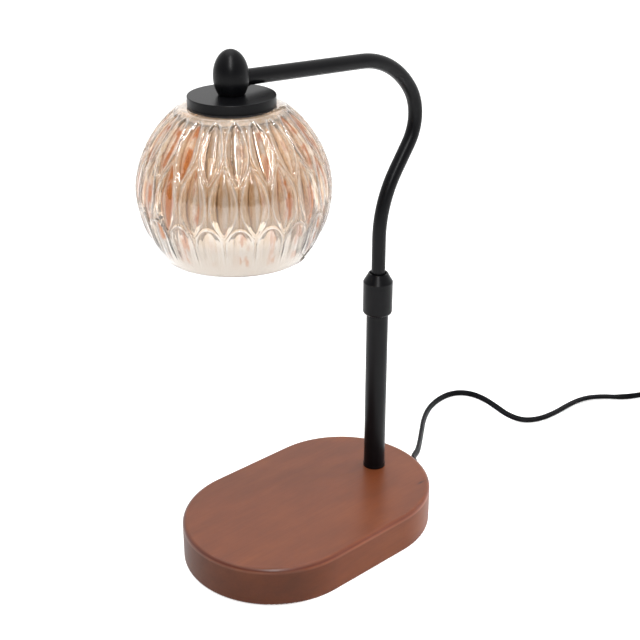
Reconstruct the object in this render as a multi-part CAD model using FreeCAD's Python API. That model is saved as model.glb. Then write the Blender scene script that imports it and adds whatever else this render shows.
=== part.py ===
import FreeCAD, Part
import math
import os

# Candle warmer lamp: a wood base, a post, a sliding and swinging crook arm, and a pressed glass
# shade over the place for the candle. Millimetres, +Z up. The origin is on the surface that the
# lamp stands on, under the middle of the base. +X runs along the base towards the post.

os.makedirs("parts", exist_ok=True)
vec = FreeCAD.Vector
UP = vec(0, 0, 1)

# Fits
seat_gap = 0.3          # between a part and its loose seat
fit_gap = 0.05          # radial, screwed and running fits
bush_gap = 0.08         # radial, the guide bush in the post
joint_gap = 0.1         # between lengths of cord or lead that follow one another
end_gap = 0.4           # between the cord in the gland and the length outside it
small_screw_diameter = 3.0
small_screw_head = 5.6
driver_slot_width = 0.7
driver_slot_depth = 0.4  # besides a third of the head's height

# Base
pad_thickness = 1.0
pad_inset = 3.0
base_length = 200.0
base_width = 132.0
base_thickness = 29.3
base_top_round = 3.0
base_bottom_round = 1.0
ballast_rim = 16.0
ballast_thickness = 8.0
ballast_setback = 24.0  # from the post's axis to the end of the plate
cover_thickness = 2.0
chamber_length = 30.0
chamber_width = 40.0
chamber_roof = 9.3
ballast_screw_diameter = 4.0
ballast_screw_head = 8.0
ballast_screw_length = 18.0
ballast_screw_inset = 12.0
ballast_screw_setback = 14.0
cover_screw_length = 10.0
cover_screw_setback = 5.0
cover_screw_pitch = 60.0

# Post
post_x = 67.7
post_diameter = 16.0
post_wall = 1.5
post_length = 133.7
post_foot_diameter = 16.6
post_foot_height = 2.0  # that shows above the wood
foot_recess = 1.0       # depth of the foot's seat in the wood
foot_recess_gap = 0.15
foot_spigot_length = 12.0
stud_diameter = 10.0
stud_bore = 6.5
stud_reach = 8.0        # of the stud inside the post foot
washer_diameter = 22.0
washer_thickness = 1.5
nut_width = 14.0
nut_thickness = 3.5
stud_tail = 1.5

# Clutch at the top of the post
clutch_diameter = 21.5
clutch_height = 31.8
clutch_skirt = 6.6      # reach of the clutch nut below the top of the post
clutch_round = 2.5
clutch_cone_height = 6.6
clutch_rim_diameter = 14.0
clutch_mouth_diameter = 12.0
bush_spigot_length = 18.0
bush_thread_height = 10.0
clamp_ring_height = 7.5
clamp_ring_wall = 2.4
clamp_ring_tip_wall = 1.2
clamp_ring_split = 1.5
clamp_ring_land = 1.0

# Arm
arm_diameter = 10.0
arm_wall = 1.0
arm_insert = 88.0       # of the tube inside the post at rest
arm_rise = 51.5         # straight tube from the top of the post to the first bend
lower_bend_radius = 82.0
lower_bend_turn = 35.0
slant_run = 21.0
crook_radius = 34.0
crook_turn = 70.0
shoulder_radius = 61.5
top_slope = 3.5
guide_bush_length = 12.0
clip_thickness = 1.0
clip_diameter = 12.2
clip_setback = 1.0

# Egg knuckle and canopy
shade_reach = 128.5     # from the post's axis to the shade's axis
egg_radius = 10.9
egg_half_height = 16.15
egg_lift = 1.9          # of the egg's middle above the arm's axis
egg_seat = 11.1         # from the egg's middle down to the canopy
egg_boss_diameter = 11.4
egg_boss_reach = 11.6
egg_cavity_radius = 6.2
arm_end_setback = 3.0   # from the shade's axis to the end of the arm tube
canopy_diameter = 54.0
canopy_thickness = 6.3
canopy_roof = 2.0
canopy_rim = 3.0
canopy_round = 0.5
nipple_diameter = 10.0
nipple_bore = 7.0
nipple_engagement = 3.4
set_screw_diameter = 3.0
set_screw_length = 4.0
set_screw_setback = 1.0
set_screw_socket_radius = 0.8
set_screw_socket_depth = 1.5
nipple_tail = 1.0

# Glass shade
gasket_thickness = 0.8
gasket_width = 6.0
shade_diameter = 121.2
shade_height = 91.7
shade_belt = 51.0       # from the top of the glass down to its widest ring
shade_upper_span = 63.4
shade_lower_span = 74.6
shade_upper_power = 1.81
shade_lower_power = 1.76
shade_wall = 3.8
shade_roof = 4.0
shade_hole_diameter = 42.0

# Socket
socket_diameter = 38.0
socket_wall = 1.5
socket_length = 34.0
socket_ring_diameter = 50.0
socket_ring_height = 4.0
socket_nut_thickness = 3.0
ceramic_diameter = 28.0
ceramic_height = 20.0
ceramic_drop = 8.0      # from the socket's roof to the ceramic block
pin_pitch = 10.0
pin_radius = 1.2
pin_head_radius = 2.4
pin_length = 6.0
pin_head_length = 2.5
pin_slot_turn = 30.0
pin_slot_gap = 0.3
socket_screw_inset = 3.5
socket_screw_recess = 6.0
spacer_radius = 3.0
ring_grips = 18
ring_grip_radius = 1.2

# Bulb
bulb_diameter = 50.0
bulb_length = 51.0
bulb_base_diameter = 25.0
bulb_base_length = 16.0
bulb_lens_thickness = 3.0
bulb_wall = 1.2
bulb_shoulder = 1.0
bulb_lens_chamfer = 1.5

# Cord and leads
cord_diameter = 5.0
cord_lift = 0.02        # keeps the faceted tube off the surface that it lies on
cord_exit_height = 9.0
gland_bore_gap = 0.05
gland_flange_diameter = 11.0
gland_flange_thickness = 2.0
gland_tail = 4.5
gland_body_diameter = 8.0
lead_diameter = 3.6
lead_bend_radius = 6.0
lead_overlap = 6.0      # of the lower lead above the top of the clutch bush
lead_parting = 33.0     # between the two leads at rest, more than the arm can fall
gland_lip = 1.2
gland_tip_lip = 0.7
connector_length = 10.0
connector_width = 12.0
connector_height = 8.0
connector_side = 7.0    # from the base's middle line to its near side
connector_gap = 1.0
terminal_radius = 1.6
terminal_pitch = 5.0
coil_centre = vec(344, -110.8, 0)
coil_radius = 37.5
coil_pitch = 5.6
coil_turns = 7
coil_climb_turns = 0.5
coil_smoothing = 0.005  # of the turn from winding in to winding out

# Inline dimmer and plug
dimmer_length = 50.0
dimmer_width = 24.0
dimmer_height = 17.0
dimmer_wall = 1.6
dimmer_heading = -60.0
wheel_diameter = 19.0
wheel_thickness = 4.0
wheel_offset = 5.5
wheel_axle_diameter = 3.0
wheel_gap = 0.5
wheel_teeth = 30
wheel_tooth_radius = 0.55
dimmer_corner = 7.0
dimmer_edge = 2.5
dimmer_end_wall = 2.6
dimmer_screw_diameter = 2.0
dimmer_screw_head = 4.0
dimmer_screw_length = 10.0
dimmer_screw_recess = 0.6
dimmer_screw_setback = 9.0
dimmer_screw_inset = 5.2
dimmer_boss_radius = 2.6
dimmer_boss_root = 0.5
dimmer_lead_in = 9.0    # straight cord before the dimmer
board_thickness = 1.4
board_setback = 13.0
board_gap = 2.0
board_wheel_gap = 1.0
plug_length = 32.0
plug_width = 26.0
plug_height = 17.0
blade_length = 17.0
blade_width = 6.3
blade_thickness = 1.5
blade_pitch = 12.7
blade_hole_radius = 1.5
blade_hole_setback = 4.2
plug_neck_width = 10.0
plug_shoulder_width = 13.0
plug_shoulder_length = 7.0
plug_front_length = 10.0
plug_corner = 2.0
plug_edge = 1.6

# Places that follow from the sizes
base_bottom = pad_thickness
base_top = base_bottom + base_thickness
chamber_top = base_top - chamber_roof
post_bottom = base_top + post_foot_height
post_top = post_bottom + post_length
post_bore = post_diameter - 2 * post_wall
clutch_bottom = post_top - clutch_skirt
clutch_top = clutch_bottom + clutch_height
bush_top = post_top + bush_thread_height
arm_bottom = post_top - arm_insert
arm_bore = arm_diameter - 2 * arm_wall
shade_x = post_x - shade_reach


def cylinder(radius, low, high, x=0.0, y=0.0):
    return Part.makeCylinder(radius, high - low, vec(x, y, low), UP)


def ring(outer, inner, low, high, x=0.0, y=0.0):
    return cylinder(outer, low, high, x, y).cut(cylinder(inner, low - 1, high + 1, x, y))


def turned(outline, x, y=0.0):
    """Solid of revolution about the vertical line at x, y from (radius, height) corners."""
    corners = [vec(x + radius, y, height) for radius, height in outline]
    face = Part.Face(Part.makePolygon(corners + corners[:1]))
    return face.revolve(vec(x, y, 0), UP, 360)


def box(x_low, x_high, y_low, y_high, z_low, z_high):
    return Part.makeBox(x_high - x_low, y_high - y_low, z_high - z_low, vec(x_low, y_low, z_low))


def stadium(length, width, low, high):
    radius = width / 2
    half = length / 2 - radius
    middle = box(-half, half, -radius, radius, low, high)
    ends = [cylinder(radius, low, high, side * half) for side in (-1, 1)]
    return middle.fuse(ends).removeSplitter()


def hex_nut(across_flats, bore, low, high, x):
    corner = across_flats / math.sqrt(3)
    points = [vec(x + corner * math.cos(a), corner * math.sin(a), low)
              for a in [math.radians(60 * k) for k in range(7)]]
    blank = Part.Face(Part.makePolygon(points)).extrude(vec(0, 0, high - low))
    return blank.cut(cylinder(bore, low - 1, high + 1, x))


def screw(x, y, head, length, diameter, head_diameter, direction=1):
    """Countersunk screw whose flat head lies at height head and whose shank runs up or down."""
    head_height = (head_diameter - diameter) / 2
    outline = [(0, head), (head_diameter / 2, head),
               (diameter / 2, head + direction * head_height),
               (diameter / 2, head + direction * length), (0, head + direction * length)]
    body = turned(outline, x, y)
    slot_depth = head_height / 3 + driver_slot_depth
    low, high = sorted([head - direction, head + direction * slot_depth])
    slot = box(x - 0.4 * head_diameter, x + 0.4 * head_diameter, y - driver_slot_width / 2,
               y + driver_slot_width / 2, low, high)
    return body.cut(slot)


def screw_hole(x, y, head, length, diameter, head_diameter, direction=1):
    return screw_blank(x, y, head, length + seat_gap, diameter + 2 * fit_gap,
                       head_diameter + 2 * fit_gap, direction)


def screw_blank(x, y, head, length, diameter, head_diameter, direction):
    head_height = (head_diameter - diameter) / 2
    outline = [(0, head - direction), (head_diameter / 2, head - direction),
               (head_diameter / 2, head), (diameter / 2, head + direction * head_height),
               (diameter / 2, head + direction * length), (0, head + direction * length)]
    return turned(outline, x, y)


def swept(edges, radius, name):
    """Tube of one radius along joined edges, with its volume set against section times length."""
    wire = Part.Wire(edges)
    start = edges[0].Vertexes[0].Point
    heading = edges[0].tangentAt(edges[0].FirstParameter)
    section = Part.Wire([Part.Circle(start, heading, radius).toShape()])
    tube = wire.makePipeShell([section], True, False)
    expected = math.pi * radius ** 2 * wire.Length
    print(name, "length", round(wire.Length, 1), "volume / section x length",
          round(tube.Volume / expected, 4))
    return tube


def unit(v):
    return vec(v).normalize()


def rounded_route(points):
    """Edges along a route: straight runs joined by tangent arcs, with the arcs' radii."""
    edges = []
    radii = []
    last = points[0]
    for before, corner, after in zip(points, points[1:], points[2:]):
        way_in = unit(corner - before)
        way_out = unit(after - corner)
        trim = 0.45 * min((corner - before).Length, (after - corner).Length)
        half_turn = way_in.getAngle(way_out) / 2
        radius = trim / math.tan(half_turn)
        inward = unit(way_out - way_in)
        middle = corner + inward * (radius / math.cos(half_turn) - radius)
        start = corner - way_in * trim
        end = corner + way_out * trim
        edges.append(Part.LineSegment(last, start).toShape())
        edges.append(Part.Arc(start, middle, end).toShape())
        radii.append(radius)
        last = end
    edges.append(Part.LineSegment(last, points[-1]).toShape())
    return edges, radii


def cord(points, name):
    edges, radii = rounded_route(points)
    print(name, "radii", [round(r, 1) for r in radii])
    return swept(edges, cord_diameter / 2, name)


def biarc(start, start_way, end, end_way):
    """Two tangent arcs from start to end that leave and arrive along the given directions."""
    chord = end - start
    both = start_way + end_way
    spread = 2 * (1 - start_way.dot(end_way))
    along = chord.dot(both)
    reach = (math.sqrt(along ** 2 + spread * chord.dot(chord)) - along) / spread
    middle = (start + start_way * reach + end - end_way * reach) * 0.5
    return [arc_from(start, start_way, middle), arc_from(end, end_way * -1, middle, True)]


def arc_from(start, way, end, backwards=False):
    chord = end - start
    along = unit(chord)
    aside = unit(way - along * way.dot(along))
    bulge = chord.Length / 2 * math.tan(way.getAngle(chord) / 2)
    top = (start + end) * 0.5 + aside * bulge
    if backwards:
        start, end = end, start
    return Part.Arc(start, top, end).toShape()


def save(name, shape):
    if shape.ShapeType == "Compound" and len(shape.Solids) == 1:
        shape = shape.Solids[0]
    if not shape.isValid():
        print("not valid:", name)
    shape.exportStep("parts/" + name + ".step")


# Base

def base_parts():
    recess_length = base_length - 2 * ballast_rim
    recess_width = base_width - 2 * ballast_rim
    plate_end = post_x - ballast_setback
    plate_top = base_bottom + ballast_thickness
    cover_top = base_bottom + cover_thickness
    far = base_length

    block = stadium(base_length, base_width, base_bottom, base_top)
    top_edges = [e for e in block.Edges if e.BoundBox.ZMin > base_top - 0.1]
    block = block.makeFillet(base_top_round, top_edges)
    low_edges = [e for e in block.Edges if e.BoundBox.ZMax < base_bottom + 0.1]
    block = block.makeFillet(base_bottom_round, low_edges)

    deep = stadium(recess_length, recess_width, base_bottom - 1, plate_top)
    deep = deep.common(box(-far, plate_end, -far, far, base_bottom - 1, plate_top))
    shallow = stadium(recess_length, recess_width, base_bottom - 1, cover_top)
    half = chamber_length / 2
    chamber = box(post_x - half, post_x + half, -chamber_width / 2, chamber_width / 2,
                  base_bottom - 1, chamber_top)
    block = block.cut(deep.fuse([shallow, chamber]))
    block = block.cut(cylinder(stud_diameter / 2 + seat_gap, chamber_top - 1, base_top + 1, post_x))
    block = block.cut(cylinder(post_foot_diameter / 2 + foot_recess_gap, base_top - foot_recess,
                               base_top + 1, post_x))
    cord_hole = Part.makeCylinder(gland_body_diameter / 2 + fit_gap, base_length / 2 - post_x,
                                  vec(post_x, 0, cord_exit_height), vec(1, 0, 0))
    block = block.cut(cord_hole)

    plate = stadium(recess_length - 2 * seat_gap, recess_width - 2 * seat_gap, base_bottom,
                    plate_top)
    plate = plate.common(box(-far, plate_end - seat_gap, -far, far, base_bottom, plate_top))
    screw_x = recess_length / 2 - recess_width / 2
    screw_y = recess_width / 2 - ballast_screw_inset
    near_x = plate_end - ballast_screw_setback
    places = [(-screw_x, -screw_y), (-screw_x, screw_y), (near_x, -screw_y), (near_x, screw_y)]
    ballast_screw = (base_bottom, ballast_screw_length, ballast_screw_diameter, ballast_screw_head)
    screws = [screw(x, y, *ballast_screw) for x, y in places]
    for x, y in places:
        hole = screw_hole(x, y, *ballast_screw)
        plate = plate.cut(hole)
        block = block.cut(hole)

    cover = stadium(recess_length - 2 * seat_gap, recess_width - 2 * seat_gap, base_bottom,
                    cover_top)
    cover = cover.common(box(plate_end, far, -far, far, base_bottom, cover_top))
    cover_places = [(plate_end + cover_screw_setback, side * cover_screw_pitch / 2)
                    for side in (-1, 1)]
    cover_screw = (base_bottom, cover_screw_length, small_screw_diameter, small_screw_head)
    cover_screws = [screw(x, y, *cover_screw) for x, y in cover_places]
    for x, y in cover_places:
        hole = screw_hole(x, y, *cover_screw)
        cover = cover.cut(hole)
        block = block.cut(hole)

    pad = stadium(base_length - 2 * pad_inset, base_width - 2 * pad_inset, 0, pad_thickness)
    save("wood_base", block)
    save("base_pad", pad)
    save("ballast_plate", plate)
    save("ballast_screws", Part.makeCompound(screws))
    save("wiring_cover", cover)
    save("cover_screws", Part.makeCompound(cover_screws))


# Post with its foot, stud, washer and nut

def post_parts():
    stud_radius = stud_diameter / 2
    stud_top = base_top + stud_reach
    washer_low = chamber_top - washer_thickness
    nut_low = washer_low - nut_thickness
    spigot_top = post_bottom + foot_spigot_length

    foot_low = base_top - foot_recess
    foot = cylinder(post_foot_diameter / 2, foot_low, post_bottom, post_x)
    foot = foot.fuse(cylinder(post_bore / 2 - fit_gap, base_top, spigot_top, post_x))
    foot = foot.cut(cylinder(stud_radius + fit_gap, foot_low - 1, stud_top + seat_gap, post_x))
    foot = foot.cut(cylinder(stud_bore / 2, base_top, spigot_top + 1, post_x))
    stud = ring(stud_radius, stud_bore / 2, nut_low - stud_tail, stud_top, post_x)
    washer = ring(washer_diameter / 2, stud_radius + fit_gap, washer_low, chamber_top, post_x)
    nut = hex_nut(nut_width, stud_radius + fit_gap, nut_low, washer_low, post_x)
    tube = ring(post_diameter / 2, post_bore / 2, post_bottom, post_top, post_x)
    lead_low = nut_low - stud_tail
    lead = cylinder(lead_diameter / 2, lead_low, bush_top + lead_overlap, post_x)
    save("post_foot", foot)
    save("post_stud", stud)
    save("stud_washer", washer)
    save("stud_nut", nut)
    save("post_tube", tube)
    save("post_lead", lead)


# Clutch: a fixed bush, a split ring and the nut that closes it on the arm

def clutch_parts():
    arm_hole = arm_diameter / 2 + fit_gap
    spigot_low = post_top - bush_spigot_length
    thread_radius = post_diameter / 2
    ring_low = bush_top + seat_gap
    ring_top = ring_low + clamp_ring_height
    bush = turned([(arm_hole, spigot_low), (post_bore / 2 - fit_gap, spigot_low),
                   (post_bore / 2 - fit_gap, post_top), (thread_radius, post_top),
                   (thread_radius, bush_top), (arm_hole, bush_top)], post_x)

    wide = arm_hole + clamp_ring_wall
    tip = arm_hole + clamp_ring_tip_wall
    clamp = turned([(arm_hole, ring_low), (wide, ring_low), (wide, ring_low + clamp_ring_land),
                    (tip, ring_top), (arm_hole, ring_top)], post_x)
    split = box(post_x, post_x + wide + 1, -clamp_ring_split / 2, clamp_ring_split / 2,
                ring_low - 1, ring_top + 1)
    clamp = clamp.cut(split)

    bore = thread_radius + fit_gap
    outer = clutch_diameter / 2
    rim = clutch_rim_diameter / 2
    mouth = clutch_mouth_diameter / 2
    cone_low = clutch_top - clutch_cone_height
    inner_cone_low = ring_low + clamp_ring_land
    nut = turned([(bore, clutch_bottom), (outer, clutch_bottom), (outer, cone_low),
                  (rim, clutch_top), (mouth, clutch_top), (mouth, ring_top),
                  (tip + seat_gap, ring_top), (wide + seat_gap, inner_cone_low),
                  (bore, inner_cone_low)], post_x)
    foot_edge = [e for e in nut.Edges
                 if abs(e.BoundBox.ZMax - clutch_bottom) < 0.01
                 and e.BoundBox.XLength > clutch_diameter - 0.1]
    nut = nut.makeFillet(min(clutch_round, 0.9 * (outer - bore)), foot_edge)
    save("post_bush", bush)
    save("clamp_ring", clamp)
    save("clutch_nut", nut)


# Arm: its centre line in the plane y = 0

def heading(angle):
    return vec(math.cos(math.radians(angle)), 0, math.sin(math.radians(angle)))


def bend(start, angle, radius, turn):
    """Arc in the arm's plane. A positive turn goes from +X towards +Z."""
    side = 1 if turn > 0 else -1
    centre = start + heading(angle + 90 * side) * radius
    middle = centre - heading(angle + turn / 2 + 90 * side) * radius
    end = centre - heading(angle + turn + 90 * side) * radius
    return Part.Arc(start, middle, end).toShape(), end, angle + turn


def arm_line(low, end_setback):
    """Edges of the arm's centre line from height low to a setback from the shade's axis."""
    start = vec(post_x, 0, low)
    rise_end = vec(post_x, 0, post_top + arm_rise)
    edges = [Part.LineSegment(start, rise_end).toShape()]
    edge, point, angle = bend(rise_end, 90, lower_bend_radius, -lower_bend_turn)
    edges.append(edge)
    slant_end = point + heading(angle) * slant_run
    edges.append(Part.LineSegment(point, slant_end).toShape())
    edge, point, angle = bend(slant_end, angle, crook_radius, crook_turn)
    edges.append(edge)
    edge, point, angle = bend(point, angle, shoulder_radius, 180 - top_slope - angle)
    edges.append(edge)
    top_run = (point.x - shade_x - end_setback) / math.cos(math.radians(top_slope))
    end = point + heading(angle) * top_run
    edges.append(Part.LineSegment(point, end).toShape())
    return edges, end, angle


def arm_parts():
    edges, tube_end, angle = arm_line(arm_bottom, arm_end_setback)
    outer = swept(edges, arm_diameter / 2, "arm_tube")
    tube = outer.cut(swept(edges, arm_bore / 2, "arm_bore"))

    clip_low = arm_bottom + clip_setback
    bush_low = clip_low + clip_thickness + seat_gap
    bush_high = bush_low + guide_bush_length
    clips = [ring(clip_diameter / 2, arm_diameter / 2, low, low + clip_thickness, post_x)
             for low in (clip_low, bush_high + seat_gap)]
    guide = ring(post_bore / 2 - bush_gap, arm_diameter / 2 + fit_gap, bush_low, bush_high, post_x)

    lead_start = bush_top + lead_overlap + lead_parting
    lead_edges, lead_end, angle = arm_line(lead_start, lead_bend_radius)
    drop = 90 - top_slope
    edge, point, angle = bend(lead_end, angle, lead_bend_radius, drop)
    lead_edges.append(edge)
    low = vec(point.x, 0, ceramic_top + joint_gap)
    lead_edges.append(Part.LineSegment(point, low).toShape())
    lead = swept(lead_edges, lead_diameter / 2, "arm_lead")
    save("arm_tube", tube)
    save("arm_clips", Part.makeCompound(clips))
    save("guide_bush", guide)
    save("arm_lead", lead)


def arm_axis_height():
    """Height of the arm's centre line where it meets the shade's axis."""
    return arm_line(arm_bottom, 0)[1].z


egg_middle = arm_axis_height() + egg_lift
canopy_top = egg_middle - egg_seat
canopy_bottom = canopy_top - canopy_thickness
roof_under = canopy_top - canopy_roof
glass_top = canopy_bottom - gasket_thickness
glass_rim = glass_top - shade_height
socket_top = roof_under
ceramic_top = socket_top - ceramic_drop
ceramic_bottom = ceramic_top - ceramic_height


# Egg knuckle that joins the arm to the canopy, with its grub screw

def knuckle_parts():
    egg = Part.makeSphere(1, vec(0, 0, 0), UP)
    stretch = FreeCAD.Matrix()
    stretch.scale(egg_radius, egg_radius, egg_half_height)
    egg = egg.transformGeometry(stretch)
    egg.translate(vec(shade_x, 0, egg_middle))
    egg = egg.cut(cylinder(2 * egg_radius, egg_middle - 2 * egg_half_height, canopy_top, shade_x))

    along = heading(-top_slope)
    middle = vec(shade_x, 0, arm_axis_height())
    boss = Part.makeCylinder(egg_boss_diameter / 2, egg_boss_reach, middle, along)
    egg = egg.fuse(boss)
    nipple_top = canopy_top + nipple_engagement
    cavity = cylinder(egg_cavity_radius, nipple_top, arm_axis_height() + arm_diameter / 2, shade_x)
    bore = cylinder(nipple_diameter / 2 + fit_gap, canopy_top - 1, nipple_top + 1, shade_x)
    arm_hole = Part.makeCylinder(arm_diameter / 2 + fit_gap, egg_boss_reach + 1, middle, along)
    egg = egg.cut(cavity.fuse([bore, arm_hole]))

    screw_x = shade_x + arm_end_setback + set_screw_diameter / 2 + set_screw_setback
    screw_z = arm_axis_height() - (screw_x - shade_x) * math.tan(math.radians(top_slope))
    screw_start = vec(screw_x, arm_diameter / 2 + fit_gap, screw_z)
    across = vec(0, 1, 0)
    hole = Part.makeCylinder(set_screw_diameter / 2 + fit_gap, egg_radius, screw_start, across)
    egg = egg.cut(hole)
    grub = Part.makeCylinder(set_screw_diameter / 2, set_screw_length, screw_start, across)
    socket_start = screw_start + across * (set_screw_length - set_screw_socket_depth)
    grub = grub.cut(Part.makeCylinder(set_screw_socket_radius, set_screw_length, socket_start,
                                      across))

    nipple_low = socket_top - socket_wall - socket_nut_thickness - nipple_tail
    nipple = ring(nipple_diameter / 2, nipple_bore / 2, nipple_low, nipple_top, shade_x)
    save("arm_egg", egg)
    save("arm_set_screw", grub)
    save("lamp_nipple", nipple)


# Canopy, gasket and glass

def shade_radius(drop, outer):
    """Outer radius of the glass at a depth below its top, from two superellipse halves."""
    offset = shade_belt - drop
    span, power = shade_upper_span, shade_upper_power
    if offset < 0:
        span, power = shade_lower_span, shade_lower_power
    return outer * (1 - (abs(offset) / span) ** power) ** (1 / power)


def shade_curve(top, bottom, inset):
    count = 9
    drops = [glass_top - top + (top - bottom) * k / (count - 1) for k in range(count)]
    points = [vec(shade_x + shade_radius(drop, shade_diameter / 2) - inset, 0, glass_top - drop)
              for drop in drops]
    curve = Part.BSplineCurve()
    curve.interpolate(points)
    return curve.toShape(), points[0], points[-1]


def glass_parts():
    roof_low = glass_top - shade_roof
    hole = shade_hole_diameter / 2
    outside, outer_top, outer_rim = shade_curve(glass_top, glass_rim, 0)
    inside, inner_top, inner_rim = shade_curve(roof_low, glass_rim, shade_wall)
    hole_top = vec(shade_x + hole, 0, glass_top)
    hole_low = vec(shade_x + hole, 0, roof_low)
    lip = (outer_rim + inner_rim) * 0.5 - UP * (0.3 * shade_wall)
    edges = [outside, Part.Arc(outer_rim, lip, inner_rim).toShape(), inside,
             Part.LineSegment(inner_top, hole_low).toShape(),
             Part.LineSegment(hole_low, hole_top).toShape(),
             Part.LineSegment(hole_top, outer_top).toShape()]
    face = Part.Face(Part.Wire(Part.__sortEdges__(edges)))
    glass = face.revolve(vec(shade_x, 0, 0), UP, 360)

    gasket_outer = canopy_diameter / 2
    gasket = ring(gasket_outer - seat_gap, gasket_outer - gasket_width, glass_top, canopy_bottom,
                  shade_x)
    disc = cylinder(canopy_diameter / 2, canopy_bottom, canopy_top, shade_x)
    rims = [e for e in disc.Edges if e.BoundBox.XLength > 1 and e.BoundBox.ZLength < 0.1]
    disc = disc.makeFillet(canopy_round, rims)
    hollow = canopy_diameter / 2 - canopy_rim
    disc = disc.cut(cylinder(hollow, canopy_bottom - 1, roof_under, shade_x))
    disc = disc.cut(cylinder(nipple_diameter / 2 + fit_gap, roof_under - 1, canopy_top + 1,
                             shade_x))
    save("glass_shade", glass)
    save("shade_gasket", gasket)
    save("canopy_disc", disc)


# Socket cup, its nut, the ceramic block, the screws and the ring that holds the glass

def pin_slot(side):
    """Arc slot for one bulb pin, open from below, with room for the quarter twist."""
    reach = pin_head_radius + pin_slot_gap
    middle = pin_pitch / 2
    low = ceramic_bottom - 1
    high = ceramic_bottom + pin_length + 1
    lane = ring(middle + reach, middle - reach, low, high, shade_x)
    wedge = Part.makeCylinder(2 * middle, high - low, vec(shade_x, 0, low), UP, pin_slot_turn)
    start = 0 if side > 0 else 180
    wedge.rotate(vec(shade_x, 0, 0), UP, start - pin_slot_turn)
    ends = []
    for angle in (start, start - pin_slot_turn):
        spot = vec(shade_x + middle * math.cos(math.radians(angle)),
                   middle * math.sin(math.radians(angle)), 0)
        ends.append(cylinder(reach, low, high, spot.x, spot.y))
    return lane.common(wedge).fuse(ends)


def socket_parts():
    radius = socket_diameter / 2
    cup_low = socket_top - socket_length
    under_roof = socket_top - socket_wall
    cup = cylinder(radius, cup_low, socket_top, shade_x)
    cup = cup.cut(cylinder(radius - socket_wall, cup_low - 1, under_roof, shade_x))
    cup = cup.cut(cylinder(nipple_diameter / 2 + fit_gap, under_roof - 1, socket_top + 1, shade_x))
    nut = hex_nut(nut_width, nipple_diameter / 2 + fit_gap, under_roof - socket_nut_thickness,
                  under_roof, shade_x)
    ceramic = cylinder(ceramic_diameter / 2, ceramic_bottom, ceramic_top, shade_x)
    ceramic = ceramic.cut(pin_slot(1).fuse(pin_slot(-1)))
    screw_y = ceramic_diameter / 2 - socket_screw_inset
    head = ceramic_bottom + socket_screw_recess
    length = under_roof - head + socket_wall
    screws = []
    for side in (-1, 1):
        y = side * screw_y
        screws.append(screw(shade_x, y, head, length, small_screw_diameter, small_screw_head))
        hole = screw_hole(shade_x, y, head, length + 1, small_screw_diameter, small_screw_head)
        access = cylinder(small_screw_head / 2 + fit_gap, ceramic_bottom - 1, head, shade_x, y)
        ceramic = ceramic.cut(hole.fuse(access))
        cup = cup.cut(hole)
    posts = []
    for side in (-1, 1):
        posts.append(ring(spacer_radius, small_screw_diameter / 2 + fit_gap, ceramic_top,
                          under_roof, shade_x, side * screw_y))
    ring_top = glass_top - shade_roof - fit_gap
    clamp = ring(socket_ring_diameter / 2, radius + fit_gap, ring_top - socket_ring_height,
                 ring_top, shade_x)
    grip = [cylinder(ring_grip_radius, ring_top - socket_ring_height - 1,
                     ring_top - ring_grip_radius,
                     shade_x + socket_ring_diameter / 2 * math.cos(a),
                     socket_ring_diameter / 2 * math.sin(a))
            for a in [math.radians(360 * k / ring_grips) for k in range(ring_grips)]]
    clamp = clamp.cut(Part.makeCompound(grip))
    save("socket_cup", cup)
    save("socket_nut", nut)
    save("gu10_socket", ceramic)
    save("socket_screws", Part.makeCompound(screws))
    save("socket_spacers", Part.makeCompound(posts))
    save("shade_ring", clamp)


# Bulb

def bulb_parts():
    top = ceramic_bottom - seat_gap
    base_low = top - bulb_base_length
    bottom = top - bulb_length
    lens_top = bottom + bulb_lens_thickness
    neck = bulb_base_diameter / 2
    mouth = bulb_diameter / 2
    base = turned([(0, top), (neck - bulb_shoulder, top), (neck, top - bulb_shoulder),
                   (neck, base_low),
                   (0, base_low)], shade_x)

    shoulder = vec(shade_x + neck + bulb_shoulder, 0, base_low)
    edge = vec(shade_x + mouth, 0, lens_top)
    swell = vec(shade_x + neck + 0.68 * (mouth - neck), 0, base_low + 0.42 * (lens_top - base_low))
    outside = Part.Arc(shoulder, swell, edge).toShape()
    shift = vec(-bulb_wall, 0, 0)
    inside = Part.Arc(shoulder + shift, swell + shift, edge + shift).toShape()
    sides = [Part.LineSegment(shoulder, shoulder + shift).toShape(),
             Part.LineSegment(edge, edge + shift).toShape()]
    skin = Part.Face(Part.Wire(Part.__sortEdges__([outside, inside] + sides)))
    reflector = skin.revolve(vec(shade_x, 0, 0), UP, 360)
    lens = turned([(0, bottom), (mouth - bulb_lens_chamfer, bottom),
                   (mouth, bottom + bulb_lens_chamfer), (mouth, lens_top), (0, lens_top)], shade_x)

    pins = []
    for side in (-1, 1):
        x = shade_x + side * pin_pitch / 2
        stem = cylinder(pin_radius, top, top + pin_length, x)
        head = cylinder(pin_head_radius, top + pin_length - pin_head_length, top + pin_length, x)
        pins.append(stem.fuse(head))
    save("bulb_base", base)
    save("bulb_reflector", reflector)
    save("bulb_lens", lens)
    save("bulb_pins", Part.makeCompound(pins))


# Cord inlet and the wiring in the base

gland_end = base_length / 2 + gland_flange_thickness + gland_tail


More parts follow.
